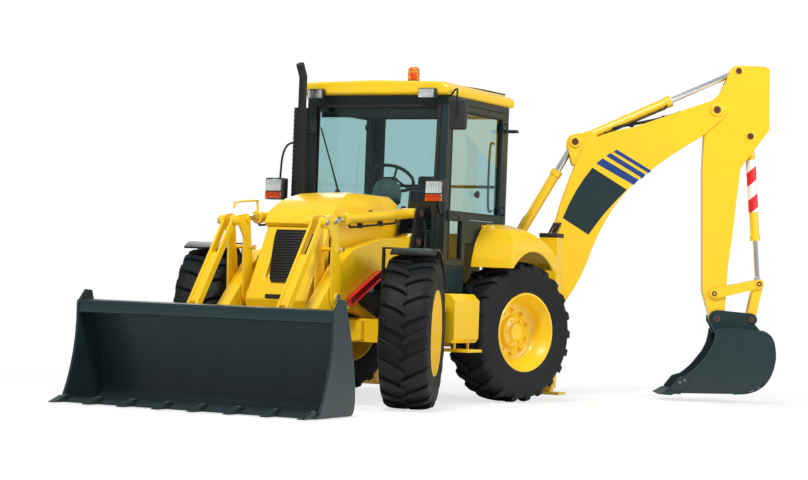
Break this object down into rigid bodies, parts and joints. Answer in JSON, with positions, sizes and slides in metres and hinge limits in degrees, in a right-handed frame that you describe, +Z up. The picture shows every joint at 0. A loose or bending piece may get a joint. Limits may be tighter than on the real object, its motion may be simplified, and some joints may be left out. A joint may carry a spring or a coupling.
{
  "type": "backhoe loader",
  "caption": "Wheeled backhoe loader: front bucket on lifting arms, cab with doors, steered axles, and a sliding, slewing rear digging arm with stabiliser legs.",
  "frame": {"origin": "middle of the footprint rectangle, on the ground", "axes": "+Z up, -Y towards the loader bucket, +X to the machine's own left"},
  "size_m": [4.191, 7.2592, 3.414],
  "materials": {
    "yellow_paint": "gloss enamel",
    "slate_paint": "satin enamel",
    "black_paint": "satin enamel",
    "tyre_rubber": "matte, dusty",
    "chrome_rod": "ground and polished",
    "tinted_glass": "green tinted",
    "engine_grey": "painted casting",
    "seat_fabric": "woven"
  },
  "bodies": {
    "root": {"chassis_frame": "black_paint", "engine_block": "engine_grey", "front_nose": "yellow_paint", "cab_shell": "slate_paint", "cab_roof": "yellow_paint", "windscreen": "tinted_glass", "seat": "seat_fabric", "dashboard": "black_paint", "left_fender": "yellow_paint", "right_fender": "yellow_paint", "fuel_tank": "yellow_paint", "battery_box": "yellow_paint", "exhaust_stack": "black_paint", "rear_frame": "yellow_paint", "front_axle": "yellow_paint", "rear_axle": "black_paint"},
    "hood": {"hood": "yellow_paint"},
    "left_door": {"left_door": "slate_paint"},
    "right_door": {"right_door": "slate_paint"},
    "front_left_steer": {"front_left_knuckle": "black_paint"},
    "front_left_wheel": {"front_left_tyre": "tyre_rubber", "front_left_rim": "yellow_paint"},
    "front_right_steer": {"front_right_knuckle": "black_paint"},
    "front_right_wheel": {"front_right_tyre": "tyre_rubber", "front_right_rim": "yellow_paint"},
    "rear_left_steer": {"rear_left_knuckle": "yellow_paint"},
    "rear_left_wheel": {"rear_left_tyre": "tyre_rubber", "rear_left_rim": "yellow_paint"},
    "rear_right_steer": {"rear_right_knuckle": "yellow_paint"},
    "rear_right_wheel": {"rear_right_tyre": "tyre_rubber", "rear_right_rim": "yellow_paint"},
    "left_leg": {"left_stabiliser_leg": "yellow_paint"},
    "right_leg": {"right_stabiliser_leg": "yellow_paint"},
    "loader_arms": {"loader_arms": "yellow_paint"},
    "loader_bucket": {"loader_bucket": "slate_paint"},
    "tilt_levers": {"left_tilt_lever": "yellow_paint", "right_tilt_lever": "yellow_paint"},
    "tilt_links": {"left_tilt_link": "yellow_paint", "right_tilt_link": "yellow_paint"},
    "tilt_barrels": {"left_tilt_barrel": "yellow_paint", "right_tilt_barrel": "yellow_paint"},
    "tilt_rods": {"left_tilt_rod": "chrome_rod", "right_tilt_rod": "chrome_rod"},
    "lift_barrels": {"left_lift_barrel": "yellow_paint", "right_lift_barrel": "yellow_paint"},
    "lift_rods": {"left_lift_rod": "chrome_rod", "right_lift_rod": "chrome_rod"},
    "slide_carriage": {"slide_carriage": "yellow_paint"},
    "swing_post": {"swing_post": "yellow_paint"},
    "boom": {"boom": "yellow_paint"},
    "dipper": {"dipper": "yellow_paint"},
    "hoe_bucket": {"hoe_bucket": "slate_paint"},
    "hoe_lever": {"hoe_lever": "yellow_paint"},
    "hoe_link": {"hoe_link": "yellow_paint"},
    "boom_barrel": {"boom_barrel": "yellow_paint"},
    "boom_rod": {"boom_rod": "chrome_rod"},
    "dipper_barrel": {"dipper_barrel": "yellow_paint"},
    "dipper_rod": {"dipper_rod": "chrome_rod"},
    "bucket_barrel": {"bucket_barrel": "yellow_paint"},
    "bucket_rod": {"bucket_rod": "chrome_rod"}
  },
  "joints": [
    {"name": "steer", "type": "hinge", "parent": "root", "child": "front_left_steer", "pos_m": [0.02541, -1.45962, 0.66], "axis": [0, 0, 1], "range_deg": [-41, 3]},
    {"name": "front_right_steer", "type": "hinge", "parent": "root", "child": "front_right_steer", "pos_m": [-1.49459, -1.45962, 0.66], "axis": [0, 0, 1], "range_deg": [-41.01, 3.01]},
    {"name": "rear_left_steer", "type": "hinge", "parent": "root", "child": "rear_left_steer", "pos_m": [0.02541, 0.74038, 0.66], "axis": [0, 0, 1], "range_deg": [-3.01, 41.01]},
    {"name": "rear_right_steer", "type": "hinge", "parent": "root", "child": "rear_right_steer", "pos_m": [-1.49459, 0.74038, 0.66], "axis": [0, 0, 1], "range_deg": [-3.01, 41.01]},
    {"name": "front_left_wheel_spin", "type": "hinge", "parent": "front_left_steer", "child": "front_left_wheel", "pos_m": [0.23343, -1.388, 0.66], "axis": [0.9455, 0.3256, 0], "continuous": true},
    {"name": "front_right_wheel_spin", "type": "hinge", "parent": "front_right_steer", "child": "front_right_wheel", "pos_m": [-1.7026, -1.53125, 0.66], "axis": [0.9455, 0.3256, 0], "continuous": true},
    {"name": "rear_left_wheel_spin", "type": "hinge", "parent": "rear_left_steer", "child": "rear_left_wheel", "pos_m": [0.23343, 0.66875, 0.66], "axis": [0.9455, -0.3256, 0], "continuous": true},
    {"name": "rear_right_wheel_spin", "type": "hinge", "parent": "rear_right_steer", "child": "rear_right_wheel", "pos_m": [-1.7026, 0.812, 0.66], "axis": [0.9455, -0.3256, 0], "continuous": true},
    {"name": "left_door_hinge", "type": "hinge", "parent": "root", "child": "left_door", "pos_m": [0.01041, 0.94038, 2], "axis": [0, 0, 1], "range_deg": [0, 95]},
    {"name": "right_door_hinge", "type": "hinge", "parent": "root", "child": "right_door", "pos_m": [-1.47959, 0.94038, 2], "axis": [0, 0, -1], "range_deg": [0, 95]},
    {"name": "hood_hinge", "type": "hinge", "parent": "root", "child": "hood", "pos_m": [-0.73459, -0.38962, 1.79], "axis": [-1, 0, 0], "range_deg": [0, 45]},
    {"name": "left_leg_slide", "type": "slide", "parent": "root", "child": "left_leg", "axis": [0, 0, -1], "range_m": [0, 0.5]},
    {"name": "right_leg_slide", "type": "slide", "parent": "root", "child": "right_leg", "axis": [0, 0, -1], "range_m": [0, 0.5]},
    {"name": "arm_lift", "type": "hinge", "parent": "root", "child": "loader_arms", "pos_m": [-0.73459, -0.45962, 1.45], "axis": [-1, 0, 0], "range_deg": [0, 78]},
    {"name": "lift_barrel_pivot", "type": "hinge", "parent": "root", "child": "lift_barrels", "pos_m": [-0.73459, -0.47962, 0.52], "axis": [-1, 0, 0], "range_deg": [-0.01, 50.9]},
    {"name": "lift_rod_slide", "type": "slide", "parent": "lift_barrels", "child": "lift_rods", "axis": [0, -0.9478, 0.3187], "range_m": [-0.001, 0.957]},
    {"name": "bucket_tilt", "type": "hinge", "parent": "loader_arms", "child": "loader_bucket", "pos_m": [-0.73459, -2.68962, 0.28], "axis": [1, 0, 0], "range_deg": [-35, 80]},
    {"name": "tilt_lever_pivot", "type": "hinge", "parent": "loader_arms", "child": "tilt_levers", "pos_m": [-0.73459, -1.93962, 0.93], "axis": [1, 0, 0], "range_deg": [-22.12, 50.53]},
    {"name": "tilt_link_pivot", "type": "hinge", "parent": "tilt_levers", "child": "tilt_links", "pos_m": [-0.73459, -2.15962, 1.56], "axis": [1, 0, 0], "range_deg": [-48.42, 21.19]},
    {"name": "tilt_barrel_pivot", "type": "hinge", "parent": "root", "child": "tilt_barrels", "pos_m": [-0.73459, -0.41962, 1.715], "axis": [-1, 0, 0], "range_deg": [-0.01, 84.47]},
    {"name": "tilt_rod_slide", "type": "slide", "parent": "tilt_barrels", "child": "tilt_rods", "axis": [0, -0.9964, -0.0849], "range_m": [-0.221, 0.502]},
    {"name": "side_shift", "type": "slide", "parent": "root", "child": "slide_carriage", "axis": [1, 0, 0], "range_m": [-0.45, 0.45]},
    {"name": "swing", "type": "hinge", "parent": "slide_carriage", "child": "swing_post", "pos_m": [-0.73459, 2.04038, 0.8], "axis": [0, 0, 1], "range_deg": [-26, 154]},
    {"name": "boom_lift", "type": "hinge", "parent": "swing_post", "child": "boom", "pos_m": [-0.30317, 2.2508, 0.62], "axis": [0.4384, -0.8988, 0], "range_deg": [-80, 25]},
    {"name": "dipper_crowd", "type": "hinge", "parent": "boom", "child": "dipper", "pos_m": [1.37758, 3.07055, 2.955], "axis": [0.4384, -0.8988, 0], "range_deg": [-12, 95]},
    {"name": "hoe_bucket_curl", "type": "hinge", "parent": "dipper", "child": "hoe_bucket", "pos_m": [1.4405, 3.10123, 0.84], "axis": [0.4384, -0.8988, 0], "range_deg": [-70, 60]},
    {"name": "boom_barrel_pivot", "type": "hinge", "parent": "swing_post", "child": "boom_barrel", "pos_m": [-0.61774, 2.09736, 1.13], "axis": [0.4384, -0.8988, 0], "range_deg": [-79.73, 24.92]},
    {"name": "boom_rod_slide", "type": "slide", "parent": "boom_barrel", "child": "boom_rod", "axis": [0.4321, 0.2108, 0.8769], "range_m": [-0.232, 0.739]},
    {"name": "dipper_barrel_pivot", "type": "hinge", "parent": "boom", "child": "dipper_barrel", "pos_m": [0.0968, 2.44587, 2.58], "axis": [0.4384, -0.8988, 0], "range_deg": [-0.96, 7.48]},
    {"name": "dipper_rod_slide", "type": "slide", "parent": "dipper_barrel", "child": "dipper_rod", "axis": [0.8112, 0.3957, 0.4306], "range_m": [-0.656, 0.084]},
    {"name": "hoe_lever_pivot", "type": "hinge", "parent": "dipper", "child": "hoe_lever", "pos_m": [1.40904, 3.08589, 1.09], "axis": [0.4384, -0.8988, 0], "range_deg": [-55.53, 47.6]},
    {"name": "hoe_link_pivot", "type": "hinge", "parent": "hoe_lever", "child": "hoe_link", "pos_m": [1.81439, 3.2836, 1.205], "axis": [0.4384, -0.8988, 0], "range_deg": [-30.93, 36.08]},
    {"name": "bucket_barrel_pivot", "type": "hinge", "parent": "dipper", "child": "bucket_barrel", "pos_m": [1.69216, 3.22398, 2.7], "axis": [0.4384, -0.8988, 0], "range_deg": [-1.09, 1.27]},
    {"name": "bucket_rod_slide", "type": "slide", "parent": "bucket_barrel", "child": "bucket_rod", "axis": [0.0814, 0.0397, -0.9959], "range_m": [-0.329, 0.384]}
  ],
  "couplings": [
    {"joint": "front_right_steer", "follows": "steer", "ratio": 1},
    {"joint": "rear_left_steer", "follows": "steer", "ratio": -1},
    {"joint": "rear_right_steer", "follows": "steer", "ratio": -1},
    {"joint": "lift_barrel_pivot", "follows": "arm_lift", "ratio": 0.65233},
    {"joint": "lift_rod_slide", "follows": "arm_lift", "m_per_rad": 0.70161},
    {"joint": "tilt_lever_pivot", "follows": "bucket_tilt", "ratio": 0.63147},
    {"joint": "tilt_link_pivot", "follows": "bucket_tilt", "ratio": -0.60502},
    {"joint": "tilt_barrel_pivot", "follows": "arm_lift", "ratio": 1.0827},
    {"joint": "tilt_rod_slide", "follows": "bucket_tilt", "m_per_rad": 0.35854},
    {"joint": "boom_barrel_pivot", "follows": "boom_lift", "ratio": 0.99638},
    {"joint": "boom_rod_slide", "follows": "boom_lift", "m_per_rad": -0.52801},
    {"joint": "dipper_barrel_pivot", "follows": "dipper_crowd", "ratio": 0.07854},
    {"joint": "dipper_rod_slide", "follows": "dipper_crowd", "m_per_rad": -0.39495},
    {"joint": "hoe_lever_pivot", "follows": "hoe_bucket_curl", "ratio": 0.79314},
    {"joint": "hoe_link_pivot", "follows": "hoe_bucket_curl", "ratio": -0.51519},
    {"joint": "bucket_barrel_pivot", "follows": "hoe_bucket_curl", "ratio": -0.01796},
    {"joint": "bucket_rod_slide", "follows": "hoe_bucket_curl", "m_per_rad": -0.31274}
  ]
}
